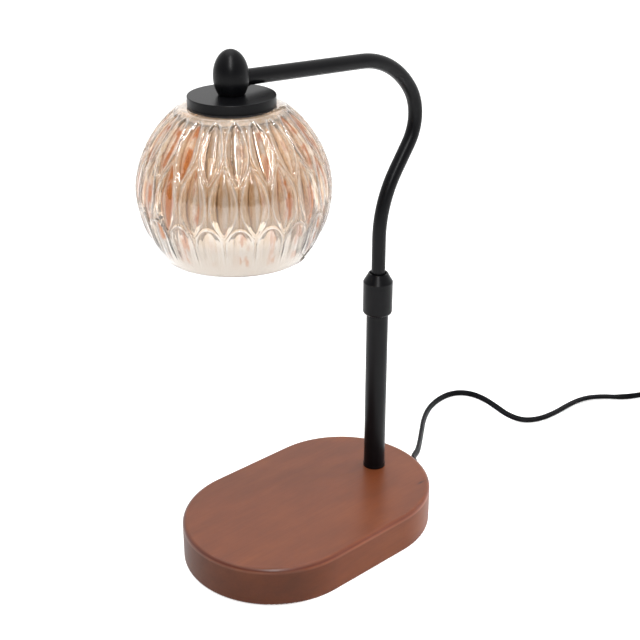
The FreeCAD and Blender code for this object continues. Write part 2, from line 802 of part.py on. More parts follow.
def inlet_parts():
    face_x = base_length / 2
    wall_in = post_x + chamber_length / 2
    body = gland_body_diameter / 2
    flange = gland_flange_diameter / 2
    bore = cord_diameter / 2 + gland_bore_gap
    outline = [(bore, wall_in), (body, wall_in), (body, face_x), (flange, face_x),
               (flange, face_x + gland_flange_thickness),
               (bore + gland_lip, face_x + gland_flange_thickness),
               (bore + gland_tip_lip, gland_end), (bore, gland_end)]
    corners = [vec(x, 0, cord_exit_height + radius) for radius, x in outline]
    face = Part.Face(Part.makePolygon(corners + corners[:1]))
    gland = face.revolve(vec(0, 0, cord_exit_height), vec(1, 0, 0), 360)

    inner_x = post_x + washer_diameter / 2 + 2
    inner = Part.makeCylinder(cord_diameter / 2, gland_end - end_gap - inner_x,
                              vec(inner_x, 0, cord_exit_height), vec(1, 0, 0))
    low = base_bottom + cover_thickness + connector_gap
    connector = box(inner_x - connector_length, inner_x, connector_side,
                    connector_side + connector_width, low, low + connector_height)
    hole_x = inner_x - connector_length - 1
    hole_y = connector_side + (connector_width - terminal_pitch) / 2
    holes = [Part.makeCylinder(terminal_radius, connector_length + 2,
                               vec(hole_x, hole_y + terminal_pitch * k, low + connector_height / 2),
                               vec(1, 0, 0))
             for k in range(2)]
    connector = connector.cut(Part.makeCompound(holes))
    save("cord_gland", gland)
    save("cord_inner", inner)
    save("wire_connector", connector)


# Cord from the gland to the dimmer, round the coil and to the plug

def flat_heading(angle):
    return vec(math.cos(math.radians(angle)), math.sin(math.radians(angle)), 0)


lie = cord_diameter / 2 + cord_lift
dimmer_way = flat_heading(dimmer_heading)
dimmer_start = vec(386, -72, dimmer_height / 2)
dimmer_end = dimmer_start + dimmer_way * dimmer_length


def coil_point(turn):
    """Point of the coil's centre line after so many turns, wound clockwise from its south side."""
    half = coil_turns / 2
    inward = math.sqrt((turn - half) ** 2 + coil_smoothing)
    radius = coil_radius + coil_pitch * (inward - math.sqrt(half ** 2 + coil_smoothing))
    climb = (turn - half) / coil_climb_turns + 0.5
    climb = min(max(climb, 0), 1)
    climb = climb * climb * (3 - 2 * climb)
    angle = math.radians(-90 - 360 * turn)
    return coil_centre + vec(radius * math.cos(angle), radius * math.sin(angle),
                             lie + coil_pitch * climb)


def coil_way(turn):
    step = 0.002
    return unit(coil_point(turn + step) - coil_point(turn - step))


def coil_gap():
    """Least gap between two turns, measured on points along the centre line."""
    count = 72
    points = [coil_point(k / count) for k in range(coil_turns * count + 1)]
    least = min((points[i] - points[j]).Length
                for i in range(0, len(points), 2) for j in range(i + count // 2, len(points)))
    return least - cord_diameter


def coil_solid():
    nodes = [k / 4 for k in range(coil_turns * 4 + 1)]
    start_way = flat_heading(180)
    ways = [coil_way(turn) for turn in nodes]
    ways[0] = start_way
    ways[-1] = start_way
    points = [coil_point(turn) for turn in nodes]
    run = cord_diameter
    edges = [Part.LineSegment(points[0] - start_way * run, points[0]).toShape()]
    for k in range(len(nodes) - 1):
        edges += biarc(points[k], ways[k], points[k + 1], ways[k + 1])
    edges.append(Part.LineSegment(points[-1], points[-1] + start_way * run).toShape())
    print("cord_coil least gap to itself", round(coil_gap(), 3))
    return swept(edges, cord_diameter / 2, "cord_coil"), points[0], points[-1]


def cord_parts():
    near = [vec(gland_end, 0, cord_exit_height),
            vec(112.7, 0.4, 9.0),
            vec(118.8, 3.2, 8.8),
            vec(123.8, 8.0, 8.3),
            vec(129.5, 12.8, 7.5),
            vec(137.0, 18.4, 6.3),
            vec(152.6, 30.2, 4.2),
            vec(167.4, 41.8, lie + 0.3),
            vec(181.0, 51.6, lie),
            vec(200.5, 61.8, lie),
            vec(221.0, 68.9, lie),
            vec(236.5, 68.6, lie),
            vec(246.6, 59.2, lie),
            vec(249.2, 44.0, lie),
            vec(246.4, 26.0, lie),
            vec(242.2, 9.0, lie),
            vec(244.6, -6.0, lie),
            vec(257.0, -14.2, lie),
            vec(276.0, -16.6, lie),
            vec(300.0, -15.6, lie),
            vec(318.0, -18.0, lie),
            vec(331.5, -26.5, lie),
            vec(342.5, -39.0, lie),
            vec(357.0, -49.5, lie + 1),
            vec(371.0, -57.0, lie + 3.6)]
    near.append(dimmer_start - dimmer_way * dimmer_lead_in)
    near.append(dimmer_start)

    coil, coil_in, coil_out = coil_solid()
    west = flat_heading(180)
    link = [dimmer_end,
            dimmer_end + dimmer_way * 8,
            dimmer_end + vec(5.0, -17.0, -1.5),
            dimmer_end + vec(-1.0, -27.0, -3.5),
            dimmer_end + vec(-14.5, -32.6, -5.4),
            vec(376.0, coil_in.y - 0.3, lie),
            coil_in - west * (cord_diameter + joint_gap)]
    plug_face = vec(311.0, coil_out.y + 1.5, plug_height / 2)
    tail = [coil_out + west * (cord_diameter + joint_gap),
            vec(329.0, coil_out.y + 0.2, coil_out.z + 0.1),
            vec(319.5, plug_face.y - 0.1, plug_height / 2 - 0.05),
            plug_face + vec(joint_gap, 0, 0)]
    save("cord_to_dimmer", cord(near, "cord_to_dimmer"))
    save("cord_to_coil", cord(link, "cord_to_coil"))
    save("cord_coil", coil)
    save("cord_to_plug", cord(tail, "cord_to_plug"))
    return plug_face


# Inline dimmer, modelled along +X from its inlet and then turned to its heading

def place_dimmer(shape):
    shape.rotate(vec(0, 0, 0), UP, dimmer_heading)
    shape.translate(vec(dimmer_start.x, dimmer_start.y, 0))
    return shape


def dimmer_parts():
    half_width = dimmer_width / 2
    middle = dimmer_height / 2
    outer = box(0, dimmer_length, -half_width, half_width, 0, dimmer_height)
    upright = [e for e in outer.Edges if e.BoundBox.ZLength > dimmer_height - 0.1]
    outer = outer.makeFillet(dimmer_corner, upright)
    flat = [e for e in outer.Edges if e.BoundBox.ZLength < 0.1]
    outer = outer.makeFillet(dimmer_edge, flat)
    inner = box(dimmer_end_wall, dimmer_length - dimmer_end_wall, dimmer_wall - half_width,
                half_width - dimmer_wall, dimmer_wall, dimmer_height - dimmer_wall)
    mouth = cord_diameter / 2 + fit_gap
    cord_way = Part.makeCylinder(mouth, dimmer_length + 2, vec(-1, 0, middle), vec(1, 0, 0))
    shell = outer.cut(inner.fuse(cord_way))

    wheel_x = dimmer_length / 2
    wheel_y = half_width - wheel_offset
    wheel_radius = wheel_diameter / 2
    wheel_low = middle - wheel_thickness / 2
    slot = cylinder(wheel_radius + wheel_gap, wheel_low - wheel_gap,
                    wheel_low + wheel_thickness + wheel_gap, wheel_x, wheel_y)
    shell = shell.cut(slot)
    lower = shell.common(box(-1, dimmer_length + 1, -half_width - 1, half_width + 1, -1, middle))
    upper = shell.common(box(-1, dimmer_length + 1, -half_width - 1, half_width + 1, middle,
                             dimmer_height + 1))
    screws = []
    screw_y = dimmer_screw_inset - half_width
    root = dimmer_wall - dimmer_boss_root
    fixing = (dimmer_screw_recess, dimmer_screw_length, dimmer_screw_diameter, dimmer_screw_head)
    for x in (dimmer_screw_setback, dimmer_length - dimmer_screw_setback):
        low_boss = cylinder(dimmer_boss_radius, root, middle, x, screw_y)
        high_boss = cylinder(dimmer_boss_radius, middle, dimmer_height - root, x, screw_y)
        hole = screw_hole(x, screw_y, *fixing)
        screws.append(screw(x, screw_y, *fixing))
        lower = lower.fuse(low_boss).cut(hole)
        upper = upper.fuse(high_boss).cut(hole)
    axle_radius = wheel_axle_diameter / 2
    axle = cylinder(axle_radius, dimmer_wall, dimmer_height - dimmer_wall, wheel_x, wheel_y)
    wheel = ring(wheel_radius, axle_radius + fit_gap, wheel_low, wheel_low + wheel_thickness,
                 wheel_x, wheel_y)
    teeth = [cylinder(wheel_tooth_radius, wheel_low - 1, wheel_low + wheel_thickness + 1,
                      wheel_x + wheel_radius * math.cos(a), wheel_y + wheel_radius * math.sin(a))
             for a in [math.radians(360 * k / wheel_teeth) for k in range(wheel_teeth)]]
    wheel = wheel.cut(Part.makeCompound(teeth))
    board_top = dimmer_wall + board_thickness
    board = box(board_setback, dimmer_length - board_setback, board_gap - half_width,
                wheel_y - wheel_radius - board_wheel_gap, dimmer_wall, board_top)
    capacitor = box(15, 20, -9, -4, board_top, board_top + 5.6)
    triac = box(29, 35, -9, -5, board_top, board_top + 3.6)
    board = board.fuse([capacitor, triac])
    for name, shape in (("dimmer_bottom", lower), ("dimmer_top", upper),
                        ("dimmer_screws", Part.makeCompound(screws)), ("wheel_axle", axle),
                        ("dimmer_wheel", wheel), ("dimmer_board", board)):
        save(name, place_dimmer(shape))
    wheel_place = place_dimmer(Part.Vertex(wheel_x, wheel_y, middle)).Point
    print("dimmer wheel axis", [round(c, 3) for c in wheel_place])


# Two-blade plug that lies beside the coil and points along -X

def plug_parts(face):
    half_width = plug_width / 2
    tip = face.x - plug_length
    side = [(face.x, plug_neck_width / 2), (face.x - plug_shoulder_length, plug_shoulder_width / 2),
            (tip + plug_front_length, half_width), (tip, half_width)]
    points = [vec(x, face.y - y, 0) for x, y in side]
    points += [vec(x, face.y + y, 0) for x, y in reversed(side)]
    outline = Part.Face(Part.makePolygon(points + points[:1]))
    body = outline.extrude(vec(0, 0, plug_height))
    upright = [e for e in body.Edges if e.BoundBox.ZLength > plug_height - 0.1]
    body = body.makeFillet(plug_corner, upright)
    flat = [e for e in body.Edges if e.BoundBox.ZLength < 0.1]
    body = body.makeFillet(plug_edge, flat)
    blades = []
    for side in (-1, 1):
        y = face.y + side * blade_pitch / 2
        blade = box(tip - blade_length, tip, y - blade_thickness / 2, y + blade_thickness / 2,
                    plug_height / 2 - blade_width / 2, plug_height / 2 + blade_width / 2)
        hole_start = vec(tip - blade_length + blade_hole_setback, y - blade_thickness,
                         plug_height / 2)
        hole = Part.makeCylinder(blade_hole_radius, 2 * blade_thickness, hole_start, vec(0, 1, 0))
        blades.append(blade.cut(hole))
    save("plug_body", body)
    save("plug_blades", Part.makeCompound(blades))


base_parts()
post_parts()
clutch_parts()
arm_parts()
knuckle_parts()
glass_parts()
socket_parts()
bulb_parts()
inlet_parts()
plug_parts(cord_parts())
dimmer_parts()
print("canopy top", round(canopy_top, 2), "glass rim", round(glass_rim, 2),
      "ceramic bottom", round(ceramic_bottom, 2), "egg middle", round(egg_middle, 2),
      "shade x", round(shade_x, 2))
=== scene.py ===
import math

import bmesh
import bpy
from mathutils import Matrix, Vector


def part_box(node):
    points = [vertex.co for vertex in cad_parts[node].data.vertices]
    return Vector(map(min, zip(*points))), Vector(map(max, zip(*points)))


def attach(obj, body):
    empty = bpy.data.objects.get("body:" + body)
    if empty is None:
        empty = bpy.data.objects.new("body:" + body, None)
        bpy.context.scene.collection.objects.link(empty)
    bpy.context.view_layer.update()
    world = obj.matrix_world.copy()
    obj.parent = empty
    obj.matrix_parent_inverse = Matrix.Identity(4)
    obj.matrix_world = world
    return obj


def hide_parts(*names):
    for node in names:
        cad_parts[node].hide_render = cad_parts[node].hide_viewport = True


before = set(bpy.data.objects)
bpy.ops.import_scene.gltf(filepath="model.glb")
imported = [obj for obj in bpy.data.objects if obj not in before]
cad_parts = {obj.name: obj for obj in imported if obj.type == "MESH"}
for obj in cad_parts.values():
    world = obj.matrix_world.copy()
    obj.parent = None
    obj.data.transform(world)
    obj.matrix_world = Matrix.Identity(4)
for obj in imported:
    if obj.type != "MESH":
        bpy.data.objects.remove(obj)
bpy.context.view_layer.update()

MM = 0.001


def place(x, y, z):
    """A point given in millimetres, in metres."""
    return Vector((x, y, z)) * MM


# Camera, at the photograph's angle. Its lens is in millimetres on a 36 mm sensor.
camera_lens = 68.21
camera_sensor = 36
camera_place = place(-503.9, -563.8, 533.1)
camera_down = 25.334
camera_azimuth = -42.405

camera_data = bpy.data.cameras.new("camera")
camera_data.lens = camera_lens
camera_data.sensor_width = camera_sensor
camera = bpy.data.objects.new("camera", camera_data)
camera.location = camera_place
camera.rotation_euler = (math.radians(90 - camera_down), 0, math.radians(camera_azimuth))
bpy.context.collection.objects.link(camera)
bpy.context.scene.camera = camera
bpy.context.scene.view_settings.view_transform = "Standard"


# Helpers for materials and meshes

def linear(hex_colour):
    """An sRGB hex colour as linear red, green, blue and alpha."""
    values = [int(hex_colour[i:i + 2], 16) / 255 for i in (1, 3, 5)]
    return [v / 12.92 if v <= 0.04045 else ((v + 0.055) / 1.055) ** 2.4 for v in values] + [1.0]


def add(tree, kind, inputs, stops=(), **settings):
    """Adds a node with its properties. An input takes a value or another node's output.

    The stops of a colour ramp are (position, hex colour)."""
    node = tree.nodes.new(kind)
    for name, value in settings.items():
        setattr(node, name, value)
    for name, value in inputs.items():
        if isinstance(value, bpy.types.NodeSocket):
            tree.links.new(value, node.inputs[name])
        else:
            node.inputs[name].default_value = value
    if stops:
        elements = node.color_ramp.elements
        while len(elements) < len(stops):
            elements.new(0.5)
        for element, (position, colour) in zip(elements, stops):
            element.position = position
            element.color = linear(colour)
    return node


def material(name, colour, roughness, metallic=0.0, **sockets):
    """A material with a Principled shader, and the tree and shader to build on."""
    made = bpy.data.materials.new(name)
    made.use_nodes = True
    shader = made.node_tree.nodes["Principled BSDF"]
    shader.inputs["Base Color"].default_value = linear(colour)
    shader.inputs["Roughness"].default_value = roughness
    shader.inputs["Metallic"].default_value = metallic
    for socket, value in sockets.items():
        shader.inputs[socket.replace("_", " ")].default_value = value
    return made, made.node_tree, shader


def object_place(tree, scale=(1, 1, 1)):
    """Object coordinates, stretched by a scale for each axis."""
    source = add(tree, "ShaderNodeTexCoord", {})
    stretched = add(tree, "ShaderNodeMapping", {"Vector": source.outputs["Object"],
                                                "Scale": scale})
    return stretched.outputs["Vector"]


def by_height(tree, low, high, first, last):
    """Goes from first to last between two heights in millimetres."""
    where = add(tree, "ShaderNodeSeparateXYZ", {"Vector": object_place(tree)})
    share = add(tree, "ShaderNodeMapRange",
                {"Value": where.outputs["Z"], "From Min": low * MM, "From Max": high * MM,
                 "To Min": first, "To Max": last})
    return share.outputs["Result"]


tone_patch = 12.0
gloss_spread = 0.06


def grit(name, colour, light, roughness, grain_mm, height_mm, metallic=0.0, **sockets):
    """A moulded, plated or painted finish: a fine grain, and a slight change of tone and gloss.

    Real grains of 0.1 to 0.3 mm are too fine to show, so they are drawn 0.35 to 0.8 mm wide."""
    made, tree, shader = material(name, colour, roughness, metallic, **sockets)
    where = object_place(tree)
    tone = add(tree, "ShaderNodeTexNoise",
               {"Vector": where, "Scale": 1 / (tone_patch * MM), "Detail": 3.0})
    toned = add(tree, "ShaderNodeValToRGB", {"Fac": tone.outputs["Fac"]},
                stops=[(0.3, colour), (0.7, light)])
    tree.links.new(toned.outputs["Color"], shader.inputs["Base Color"])
    fine = add(tree, "ShaderNodeTexNoise",
               {"Vector": where, "Scale": 1 / (grain_mm * MM), "Detail": 2.0})
    spread = add(tree, "ShaderNodeMapRange",
                 {"Value": fine.outputs["Fac"], "To Min": roughness - gloss_spread,
                  "To Max": roughness + gloss_spread})
    tree.links.new(spread.outputs["Result"], shader.inputs["Roughness"])
    relief = add(tree, "ShaderNodeBump",
                 {"Height": fine.outputs["Fac"], "Strength": 1.0, "Distance": height_mm * MM})
    tree.links.new(relief.outputs["Normal"], shader.inputs["Normal"])
    return made


def piece(name, mesh, finish, body, replaces):
    """Makes an object of a bmesh, with its finish and body, and hides the nodes it replaces."""
    data = bpy.data.meshes.new(name)
    mesh.to_mesh(data)
    mesh.free()
    for face in data.polygons:
        face.use_smooth = True
    made = bpy.data.objects.new(name, data)
    bpy.context.collection.objects.link(made)
    made.data.materials.append(finish)
    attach(made, body)
    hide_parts(*replaces)
    return made


def finish_node(finish, *nodes):
    """Gives carried-over nodes their material."""
    for node in nodes:
        bpy.data.objects[node].data.materials.clear()
        bpy.data.objects[node].data.materials.append(finish)


# Wood of the base. Sizes are in millimetres, and the grain runs along the base.

grain_stretch = 30
grain_width = 1.4
pore_width = 0.5
pore_depth = 0.012
cloud_width = 18.0
cloud_stretch = 2.5
# Painted shade on the sides keeps this share of the top's colour
side_shade = 0.58
side_gloss = 0.15
top_gloss = 0.6
side_top = 26.0
face_low = 28.5
# Heights of a darker band along the rounded top edge
dark_edge_low = 28.0
dark_edge_high = 30.2

# A short dark fleck in the grain near the post
fleck_place = Vector((75.0, -42.6, 30.3))
fleck_size = Vector((7.0, 2.2, 3.0))
fleck_turn = math.radians(2)


def lacquered_beech():
    """Beech, stained and lacquered: faint grain, painted shade on the sides and a darker band along
    the rounded top edge.
    """
    made, tree, shader = material("lacquered beech", "#763C20", 0.5, Coat_Weight=top_gloss,
                                  Coat_Roughness=0.3, Specular_IOR_Level=0.1)
    grain_place = object_place(tree, (1 / grain_stretch, 1, 1))
    cloud_place = object_place(tree, (1 / cloud_stretch, 1, 1))
    grain = add(tree, "ShaderNodeTexNoise",
                {"Vector": grain_place, "Scale": 1 / (grain_width * MM), "Detail": 5.0,
                 "Roughness": 0.6})
    pores = add(tree, "ShaderNodeTexNoise",
                {"Vector": grain_place, "Scale": 1 / (pore_width * MM), "Detail": 2.0})
    cloud = add(tree, "ShaderNodeTexNoise",
                {"Vector": cloud_place, "Scale": 1 / (cloud_width * MM), "Detail": 4.0,
                 "Roughness": 0.6})
    base = add(tree, "ShaderNodeValToRGB", {"Fac": cloud.outputs["Fac"]},
               stops=[(0.3, "#5D2F18"), (0.5, "#65331A"), (0.7, "#6D391D")])
    lines = add(tree, "ShaderNodeValToRGB", {"Fac": grain.outputs["Fac"]},
                stops=[(0.3, "#C9BCB4"), (0.5, "#F2ECE8"), (0.68, "#FFFFFF")])
    grained = add(tree, "ShaderNodeMix",
                  {0: 0.3, 6: base.outputs["Color"], 7: lines.outputs["Color"]},
                  data_type="RGBA", blend_type="MULTIPLY")

    # Painted shade: the sides are darker, and the lacquer is thinner there
    painted_side_shade = by_height(tree, side_top, face_low, side_shade, 1.0)
    tinted = add(tree, "ShaderNodeVectorMath", {0: grained.outputs[2], "Scale": painted_side_shade},
                  operation="SCALE")
    gloss = add(tree, "ShaderNodeMapRange",
                {"Value": painted_side_shade, "From Min": side_shade, "From Max": 1.0, "To Min": side_gloss,
                 "To Max": top_gloss})
    tree.links.new(gloss.outputs["Result"], shader.inputs["Coat Weight"])

    # A darker band along the rounded top edge
    edge = by_height(tree, dark_edge_low, dark_edge_high, 0.0, 1.0)
    line = add(tree, "ShaderNodeValToRGB", {"Fac": edge},
               stops=[(0.0, "#000000"), (0.45, "#FFFFFF"), (0.9, "#B0B0B0"), (1.0, "#000000")])
    edge_darkened = add(tree, "ShaderNodeMix",
                    {0: line.outputs["Color"], 6: tinted.outputs[0], 7: linear("#4A1E12")},
                    data_type="RGBA")
    fleck_at = add(tree, "ShaderNodeMapping",
                   {"Vector": object_place(tree), "Location": fleck_place * MM,
                    "Rotation": (0, 0, fleck_turn), "Scale": fleck_size * MM},
                   vector_type="TEXTURE")
    fleck = add(tree, "ShaderNodeTexGradient", {"Vector": fleck_at.outputs["Vector"]},
                gradient_type="QUADRATIC_SPHERE")
    flecked = add(tree, "ShaderNodeMix",
                  {0: fleck.outputs["Fac"], 6: edge_darkened.outputs[2], 7: linear("#1C080C")},
                  data_type="RGBA")
    tree.links.new(flecked.outputs[2], shader.inputs["Base Color"])
    relief = add(tree, "ShaderNodeBump",
                 {"Height": pores.outputs["Fac"], "Strength": 1.0, "Distance": pore_depth * MM})
    tree.links.new(relief.outputs["Normal"], shader.inputs["Normal"])
    return made


# Glass of the shade. Its middle and top come from the solid it replaces, and its rim lies a given
# height below the top.

shade_low, shade_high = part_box("glass_shade")
shade_x = (shade_low[0] + shade_high[0]) / 2 / MM
glass_top = shade_high[2] / MM
glass_rim = glass_top - 91.7

streak_width = 1.7
streak_stretch = 14
streak_depth = 0.1
streak_tone = 0.13
stain_width = 8.0
stain_stretch = 0.35
stain_body = 0.38
clear_low = glass_rim + 18.0
clear_high = glass_rim + 42.0
clear_share = 0.9


def pressed_lustre_glass():
    """Pressed soda glass under an amber lustre: see-through, with painted highlights on the ridges,
    painted shade in the grooves and scoops, orange stains in the scoops deepened towards the sides
    by a painted sheen, and an almost colourless rim."""
    made, tree, shader = material("pressed lustre glass", "#F4DEC8", 0.02, Coat_Weight=1.0,
                                  Coat_Roughness=0.02)
    tone = add(tree, "ShaderNodeAttribute", {}, attribute_name="tone")
    amber = add(tree, "ShaderNodeAttribute", {}, attribute_name="amber")
    streaks = add(tree, "ShaderNodeTexNoise",
                  {"Vector": object_place(tree, (1, 1, 1 / streak_stretch)),
                   "Scale": 1 / (streak_width * MM), "Detail": 2.0})
    lines = add(tree, "ShaderNodeMapRange",
                {"Value": streaks.outputs["Fac"], "From Min": 0.35, "From Max": 0.65,
                 "To Min": -streak_tone, "To Max": streak_tone})
    lined = add(tree, "ShaderNodeMath", {0: tone.outputs["Fac"], 1: lines.outputs["Result"]},
                operation="ADD")
    # The pale end of the ramp is the painted highlight on the ridges
    base = add(tree, "ShaderNodeValToRGB", {"Fac": lined.outputs[0]},
               stops=[(0.0, "#6E5440"), (0.25, "#D0A478"), (0.5, "#E8CCAC"), (0.95, "#FFFFFF")])
    downward = by_height(tree, clear_low, clear_high, clear_share, 0.0)
    rimmed = add(tree, "ShaderNodeMix",
                 {0: downward, 6: base.outputs["Color"], 7: linear("#AEA499")},
                 data_type="RGBA")

    cloud = add(tree, "ShaderNodeTexNoise",
                {"Vector": object_place(tree, (1, 1, stain_stretch)),
                 "Scale": 1 / (stain_width * MM), "Detail": 3.0})
    patches = add(tree, "ShaderNodeMapRange",
                  {"Value": cloud.outputs["Fac"], "From Min": 0.45, "From Max": 0.53})
    amount = add(tree, "ShaderNodeMath",
                 {0: patches.outputs["Result"], 1: amber.outputs["Fac"]}, operation="MULTIPLY")
    tinted = add(tree, "ShaderNodeMix",
                  {0: amount.outputs[0], 6: rimmed.outputs[2], 7: linear("#AC5A16")},
                  data_type="RGBA")
    tree.links.new(tinted.outputs[2], shader.inputs["Base Color"])

    # Pale ridges with their painted highlights, and stains, let a little less light through
    clear = add(tree, "ShaderNodeMapRange",
                {"Value": tone.outputs["Fac"], "From Min": 0.3, "From Max": 0.9, "To Min": 0.95,
                 "To Max": 0.84})
    thin = add(tree, "ShaderNodeMath", {0: amount.outputs[0], 1: -stain_body, 2: 1.0},
               operation="MULTIPLY_ADD")
    passed = add(tree, "ShaderNodeMath", {0: clear.outputs["Result"], 1: thin.outputs[0]},
                 operation="MULTIPLY")
    tree.links.new(passed.outputs[0], shader.inputs["Transmission Weight"])
    relief = add(tree, "ShaderNodeBump",
                 {"Height": streaks.outputs["Fac"], "Strength": 0.8,
                  "Distance": streak_depth * MM})
    tree.links.new(relief.outputs["Normal"], shader.inputs["Normal"])
    return made


wood = lacquered_beech()
amber_glass = pressed_lustre_glass()

# Powder coat on steel: nearly black, with a soft sheen
black_paint = grit("satin black powder coat", "#070709", "#0A0A0C", roughness=0.32, grain_mm=0.35,
                   height_mm=0.006, Specular_IOR_Level=0.13)
# Extruded soft PVC: black, a little waxy
cord_plastic = grit("dark grey PVC cord", "#0A0A0C", "#0E0E10", roughness=0.36, grain_mm=0.5,
                    height_mm=0.006, Specular_IOR_Level=0.06)
# Moulded ABS with a spark texture: dull black
shell_plastic = grit("black ABS, fine spark texture", "#101012", "#151517", roughness=0.5,
                     grain_mm=0.4, height_mm=0.02, Specular_IOR_Level=0.2)
# The same for the wheel in grey, so that it is found by eye
wheel_plastic = grit("grey ABS wheel", "#4A4A4D", "#525255", roughness=0.45, grain_mm=0.4,
                     height_mm=0.02)
# Moulded PVC: dull black, smoother than the shell
plug_plastic = grit("black PVC plug", "#121214", "#171719", roughness=0.45, grain_mm=0.5,
                    height_mm=0.02, Specular_IOR_Level=0.2)
# Moulded rubber: matt dark grey
black_rubber = grit("black rubber", "#1E1E20", "#242426", roughness=0.7, grain_mm=0.5,
                    height_mm=0.02)
# Cut foam: matt, with open cells
foam_rubber = grit("black EVA foam", "#1C1C1E", "#262628", roughness=0.85, grain_mm=0.8,
                   height_mm=0.06)
# Moulded nylon without pigment: warm white
white_nylon = grit("natural nylon", "#D8D5CC", "#E2DFD6", roughness=0.45, grain_mm=0.8,
                   height_mm=0.01)
# Pressed vulcanised fibre: matt brown-black
fibre_board = grit("black fibre board", "#2A2826", "#33312F", roughness=0.8, grain_mm=0.6,
                   height_mm=0.05)
# Lacquer on a circuit board: even green with some gloss
solder_mask = grit("green solder mask", "#1F4A2E", "#245536", roughness=0.35, grain_mm=0.8,
                   height_mm=0.01)
# Fired steatite: off-white and smooth
glazed_white = grit("white steatite", "#DEDBD2", "#E8E5DC", roughness=0.35, grain_mm=0.6,
                    height_mm=0.02)
# Silicone over the leads: dark and dull
silicone_lead = grit("black silicone sleeve", "#202022", "#28282A", roughness=0.6, grain_mm=0.5,
                     height_mm=0.01)
# Zinc plating: blue-grey metal with a soft shine
zinc_steel = grit("zinc plated steel", "#A8A9AC", "#B6B7BA", roughness=0.34, grain_mm=0.5,
                  height_mm=0.01, metallic=1.0)
# Turned and stamped brass: yellow metal with fine marks
turned_brass = grit("turned brass", "#B99350", "#C4A05E", roughness=0.3, grain_mm=0.5,
                    height_mm=0.01, metallic=1.0)
# Spun aluminium: pale, brushed by the tool
bright_aluminium = grit("bright aluminium", "#D8D8D6", "#E2E2E0", roughness=0.5, grain_mm=0.5,
                        height_mm=0.005, metallic=1.0)
# Coated bulb glass: a warm mirror
bulb_mirror = grit("dichroic mirror", "#E8E0D0", "#F0E8D8", roughness=0.4, grain_mm=0.8,
                   height_mm=0.002, metallic=1.0)
# Pressed bulb lens: clear, faintly uneven
lens_glass = grit("clear lens glass", "#F2F5F5", "#FAFCFC", roughness=0.1, grain_mm=0.8,
                  height_mm=0.02, Transmission_Weight=0.9)

finish_node(wood, "wood_base")
finish_node(black_paint, "post_foot", "post_tube", "clutch_nut", "arm_tube", "arm_egg",
            "canopy_disc")
finish_node(foam_rubber, "base_pad")
finish_node(black_rubber, "cord_gland", "shade_gasket")
finish_node(fibre_board, "wiring_cover")
finish_node(zinc_steel, "ballast_plate", "ballast_screws", "cover_screws", "post_stud",
            "stud_washer", "stud_nut", "dimmer_screws", "wheel_axle", "arm_clips",
            "arm_set_screw", "lamp_nipple", "socket_nut", "socket_screws", "socket_spacers",
            "bulb_pins")
finish_node(turned_brass, "post_bush", "plug_blades")
finish_node(white_nylon, "clamp_ring", "guide_bush", "wire_connector")
finish_node(silicone_lead, "post_lead", "arm_lead")
finish_node(cord_plastic, "cord_inner")
finish_node(shell_plastic, "dimmer_bottom", "dimmer_top")
finish_node(wheel_plastic, "dimmer_wheel")
finish_node(solder_mask, "dimmer_board")
finish_node(plug_plastic, "plug_body")
finish_node(bright_aluminium, "socket_cup", "shade_ring")
finish_node(glazed_white, "gu10_socket", "bulb_base")
finish_node(bulb_mirror, "bulb_reflector")
finish_node(lens_glass, "bulb_lens")


# Flat twin cord, swept along smooth splines. Sizes are in millimetres. Near the base the route
# follows the photograph, a few millimetres from the solids' own, and elsewhere it is theirs.

cord_width = 5.0
cord_thickness = 3.1
cord_lie = 2.52
section_sides = 28
section_squareness = 2.6
groove_share = 0.13
groove_reach = 0.16
exit_point = (106.5, 0, 9.0)
near_route = [exit_point, (112.7, 0.4, 9.0), (119.6, 4.6, 8.9), (123.6, 10.2, 8.4),
              (129.3, 13.7, 7.2), (137.4, 18.2, 5.4), (153.3, 30.5, 3.4),
              (167.7, 42.0, cord_lie + 0.1), (182.0, 53.4, cord_lie), (199.5, 63.9, cord_lie),
              (218.5, 69.5, cord_lie), (236.0, 69.0, cord_lie), (247.0, 59.8, cord_lie),
              (249.8, 44.5, cord_lie), (246.4, 26.0, cord_lie), (242.2, 9.0, cord_lie),
              (244.6, -6.0, cord_lie),
              (257.0, -14.2, cord_lie), (276.0, -16.6, cord_lie), (300.0, -15.6, cord_lie),
              (318.0, -18.0, cord_lie), (331.5, -26.5, cord_lie), (342.5, -39.0, cord_lie),
              (357.0, -49.5, 3.5), (371.0, -57.0, 6.1), (381.5, -64.2, 8.5), (386.0, -72.0, 8.5)]

# Share of the near stretch and the flat cord's turn there, in degrees; at 90 it is on edge
near_turns = [(0.0, 50), (0.20, 60), (0.34, 72), (0.45, 62), (0.55, 30), (0.70, 0), (0.84, 8),
              (0.89, 78), (1.0, 90)]

dimmer_way = Vector((math.cos(math.radians(-60)), math.sin(math.radians(-60)), 0))
dimmer_length = 50
dimmer_end = Vector((386.0, -72.0, 8.5)) + dimmer_length * dimmer_way

coil_middle = Vector((344, -110.8, 0))
coil_radius = 37.5
coil_pitch = 5.6
coil_turns = 7
coil_steps = 16
coil_smoothing = 0.005
coil_start = -90
coil_climb = 0.5


def smooth(value):
    """Eases from 0 to 1, and holds outside that."""
    value = min(max(value, 0.0), 1.0)
    return value * value * (3 - 2 * value)


def coil_point(turn):
    """Point of the coil after so many turns, spiralling in, up a layer and out again."""
    half = coil_turns / 2
    inward = math.sqrt((turn - half) ** 2 + coil_smoothing)
    radius = coil_radius + coil_pitch * (inward - math.sqrt(half ** 2 + coil_smoothing))
    climb = smooth((turn - half) / coil_climb + 0.5)
    angle = math.radians(coil_start - 360 * turn)
    return coil_middle + Vector((radius * math.cos(angle), radius * math.sin(angle),
                                 cord_lie + coil_pitch * climb))


